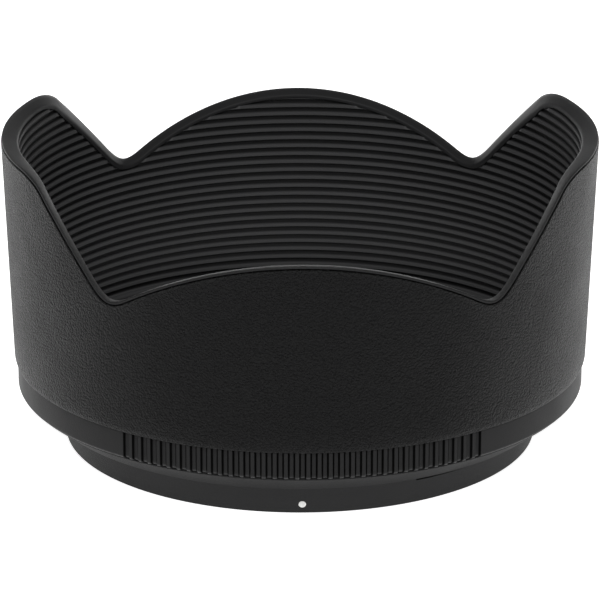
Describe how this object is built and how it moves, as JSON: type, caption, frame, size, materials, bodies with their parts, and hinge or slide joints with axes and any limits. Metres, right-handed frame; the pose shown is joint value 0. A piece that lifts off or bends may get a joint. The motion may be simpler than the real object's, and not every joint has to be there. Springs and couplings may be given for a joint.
{
  "type": "lens hood",
  "caption": "Petal-shaped camera lens hood with a grained flared shell, ribbed inner liner, serrated grip band and bayonet collar with click springs.",
  "frame": {"origin": "centre of the collar's rear face, on the optical axis", "axes": "+Z along the optical axis, away from the lens; -Y towards the index dot; +X towards one of the two tall petals"},
  "size_m": [0.1028, 0.1022, 0.0541],
  "materials": {
    "grained_black": "fine leather-like moulded grain, satin",
    "liner_black": "matt anti-reflection black",
    "grip_black": "satin black, lightly grained",
    "collar_black": "satin black, lightly grained",
    "index_white": "white enamel fill",
    "spring_steel": "rolled strip",
    "screw_black": "black oxide"
  },
  "bodies": {
    "hood": {"outer_shell": "grained_black", "ribbed_liner": "liner_black", "grip_band": "grip_black", "bayonet_collar": "collar_black", "index_dot": "index_white", "floor_screws": "screw_black", "spring_screws": "screw_black"},
    "click_spring_1": {"click_spring_1": "spring_steel"},
    "click_spring_2": {"click_spring_2": "spring_steel"},
    "click_spring_3": {"click_spring_3": "spring_steel"}
  },
  "joints": [
    {"name": "click_1", "type": "hinge", "parent": "hood", "child": "click_spring_1", "pos_m": [0.039, 0.0052, 0.0075], "axis": [0, 0, -1], "range_deg": [0, 2.5], "stiffness_Nm_per_rad": 0.3},
    {"name": "click_2", "type": "hinge", "parent": "hood", "child": "click_spring_2", "pos_m": [-0.02401, 0.03118, 0.0075], "axis": [0, 0, -1], "range_deg": [0, 2.5], "stiffness_Nm_per_rad": 0.3},
    {"name": "click_3", "type": "hinge", "parent": "hood", "child": "click_spring_3", "pos_m": [-0.01499, -0.03638, 0.0075], "axis": [0, 0, -1], "range_deg": [0, 2.5], "stiffness_Nm_per_rad": 0.3}
  ]
}
